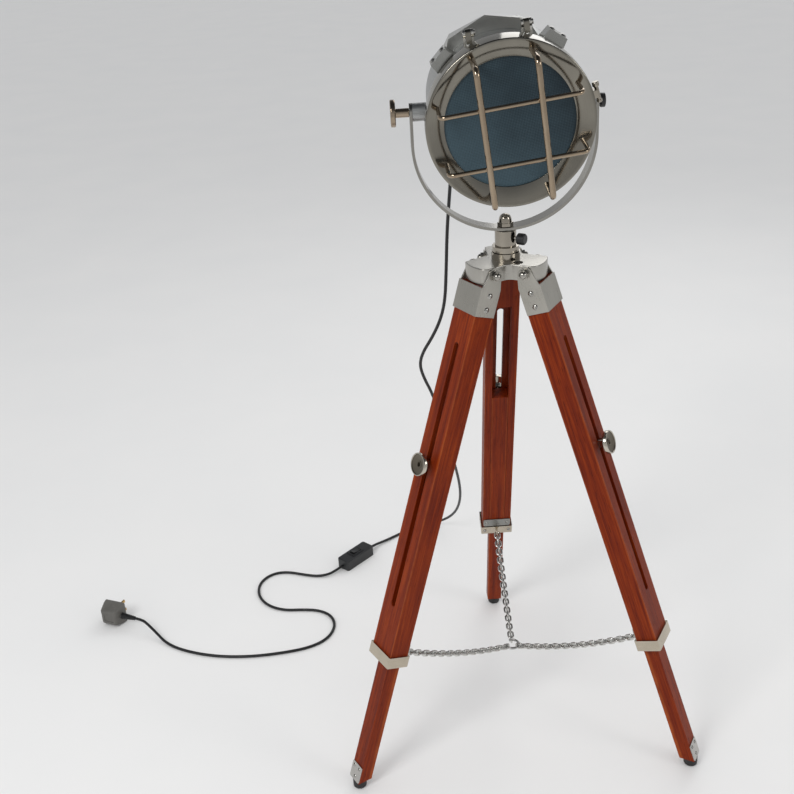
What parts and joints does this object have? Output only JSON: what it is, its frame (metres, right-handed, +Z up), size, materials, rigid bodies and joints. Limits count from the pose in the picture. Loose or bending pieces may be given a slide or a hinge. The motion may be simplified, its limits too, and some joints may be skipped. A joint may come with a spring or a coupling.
{
  "type": "tripod spotlight",
  "caption": "Round metal spotlight with a barred front door in a swivelling yoke, on a telescopic wooden tripod with chained legs, with a cord, switch and plug.",
  "frame": {"origin": "on the floor, at the middle of the box round the three feet", "axes": "+Z up, -Y the way the lamp faces, +Y towards the rear leg, +X to the right seen from the front"},
  "size_m": [1.2292, 0.8922, 1.3337],
  "materials": {
    "nickel": "nickel-plated, polished",
    "plated_steel": "polished",
    "cast_metal": "nickel-plated, polished",
    "wood": "satin lacquer",
    "rubber": "matt",
    "black_plastic": "satin",
    "grey_plastic": "matt",
    "cord": "matt",
    "brass": "bright",
    "frosted_glass": "frosted",
    "bulb_glass": "opal"
  },
  "bodies": {
    "tripod": {"tripod_plate": "cast_metal", "leg_pivot_bolts": "plated_steel", "post": "plated_steel", "chain_rear": "plated_steel", "chain_left": "plated_steel", "chain_right": "plated_steel", "chain_hook": "plated_steel", "cord_upper": "cord", "cord_lower": "cord", "switch_case": "black_plastic", "plug_body": "grey_plastic", "plug_pins": "brass"},
    "pan_lock": {"pan_lock_knob": "black_plastic"},
    "yoke": {"yoke_strap": "plated_steel", "yoke_spigot": "plated_steel", "dome_nut": "plated_steel"},
    "head": {"drum": "nickel", "rear_cover": "nickel", "cord_gland": "black_plastic", "lampholder": "black_plastic", "bulb": "bulb_glass", "vent_hood": "nickel", "vent_boxes": "nickel", "vent_screws": "plated_steel", "hinge_cheeks": "nickel", "hinge_pins": "plated_steel"},
    "door": {"door_ring": "nickel", "guard_grille": "plated_steel", "lens_glass": "frosted_glass", "lens_retainer": "plated_steel"},
    "tilt_left": {"tilt_knob_left": "plated_steel"},
    "tilt_right": {"tilt_knob_right": "black_plastic"},
    "rocker": {"switch_rocker": "black_plastic"},
    "leg_rear": {"leg_channel_rear": "wood", "leg_cap_rear": "cast_metal", "leg_screws_rear": "plated_steel", "leg_collar_rear": "cast_metal"},
    "lower_leg_rear": {"inner_leg_rear": "wood", "foot_plate_rear": "cast_metal", "foot_screws_rear": "plated_steel", "foot_rear": "rubber"},
    "clamp_knob_rear": {"leg_knob_rear": "plated_steel"},
    "leg_left": {"leg_channel_left": "wood", "leg_cap_left": "cast_metal", "leg_screws_left": "plated_steel", "leg_collar_left": "cast_metal"},
    "lower_leg_left": {"inner_leg_left": "wood", "foot_plate_left": "cast_metal", "foot_screws_left": "plated_steel", "foot_left": "rubber"},
    "clamp_knob_left": {"leg_knob_left": "plated_steel"},
    "leg_right": {"leg_channel_right": "wood", "leg_cap_right": "cast_metal", "leg_screws_right": "plated_steel", "leg_collar_right": "cast_metal"},
    "lower_leg_right": {"inner_leg_right": "wood", "foot_plate_right": "cast_metal", "foot_screws_right": "plated_steel", "foot_right": "rubber"},
    "clamp_knob_right": {"leg_knob_right": "plated_steel"}
  },
  "joints": [
    {"name": "pan", "type": "hinge", "parent": "tripod", "child": "yoke", "pos_m": [0, -0.08916, 1], "axis": [0, 0, 1], "range_deg": [-170, 170], "deforming": ["cord_upper"]},
    {"name": "pan_lock_turn", "type": "hinge", "parent": "tripod", "child": "pan_lock", "pos_m": [0.01416, -0.09945, 0.986], "axis": [0.809, -0.5878, 0], "range_deg": [-180, 180]},
    {"name": "tilt", "type": "hinge", "parent": "yoke", "child": "head", "pos_m": [0, -0.08916, 1.195], "axis": [-1, 0, 0], "range_deg": [-35, 60], "deforming": ["cord_upper"]},
    {"name": "tilt_knob_left_turn", "type": "hinge", "parent": "head", "child": "tilt_left", "pos_m": [0, -0.08916, 1.195], "axis": [-1, 0, 0], "range_deg": [-180, 180]},
    {"name": "tilt_knob_right_turn", "type": "hinge", "parent": "head", "child": "tilt_right", "pos_m": [0, -0.08916, 1.195], "axis": [1, 0, 0], "range_deg": [-180, 180]},
    {"name": "door_open", "type": "hinge", "parent": "head", "child": "door", "pos_m": [-0.01633, -0.1665, 1.32174], "axis": [-0.9925, 0.0106, -0.1214], "range_deg": [0, 100]},
    {"name": "leg_rear_fold", "type": "hinge", "parent": "tripod", "child": "leg_rear", "pos_m": [0, -0.04416, 0.938], "axis": [-1, 0, 0], "range_deg": [0, 16.5], "deforming": ["chain_rear"]},
    {"name": "leg_rear_extend", "type": "slide", "parent": "leg_rear", "child": "lower_leg_rear", "axis": [0, 0.3229, -0.9464], "range_m": [-0.19, 0.24]},
    {"name": "clamp_knob_rear_turn", "type": "hinge", "parent": "lower_leg_rear", "child": "clamp_knob_rear", "pos_m": [0, 0.08022, 0.6307], "axis": [0, 0.9464, 0.3229], "range_deg": [-180, 180]},
    {"name": "leg_left_fold", "type": "hinge", "parent": "tripod", "child": "leg_left", "pos_m": [-0.03897, -0.11166, 0.938], "axis": [0.5, -0.866, 0], "range_deg": [0, 16.5], "deforming": ["chain_left"]},
    {"name": "leg_left_extend", "type": "slide", "parent": "leg_left", "child": "lower_leg_left", "axis": [-0.2796, -0.1614, -0.9464], "range_m": [-0.19, 0.24]},
    {"name": "clamp_knob_left_turn", "type": "hinge", "parent": "lower_leg_left", "child": "clamp_knob_left", "pos_m": [-0.14921, -0.17531, 0.62218], "axis": [-0.8196, -0.4732, 0.3229], "range_deg": [-180, 180]},
    {"name": "leg_right_fold", "type": "hinge", "parent": "tripod", "child": "leg_right", "pos_m": [0.03897, -0.11166, 0.938], "axis": [0.5, 0.866, 0], "range_deg": [0, 16.5], "deforming": ["chain_right"]},
    {"name": "leg_right_extend", "type": "slide", "parent": "leg_right", "child": "lower_leg_right", "axis": [0.2796, -0.1614, -0.9464], "range_m": [-0.19, 0.24]},
    {"name": "clamp_knob_right_turn", "type": "hinge", "parent": "lower_leg_right", "child": "clamp_knob_right", "pos_m": [0.14417, -0.1724, 0.63922], "axis": [0.8196, -0.4732, 0.3229], "range_deg": [-180, 180]},
    {"name": "switch_rock", "type": "hinge", "parent": "tripod", "child": "rocker", "pos_m": [-0.318, 0.469, 0.023], "axis": [0.7258, -0.6879, 0], "range_deg": [0, 14]}
  ]
}
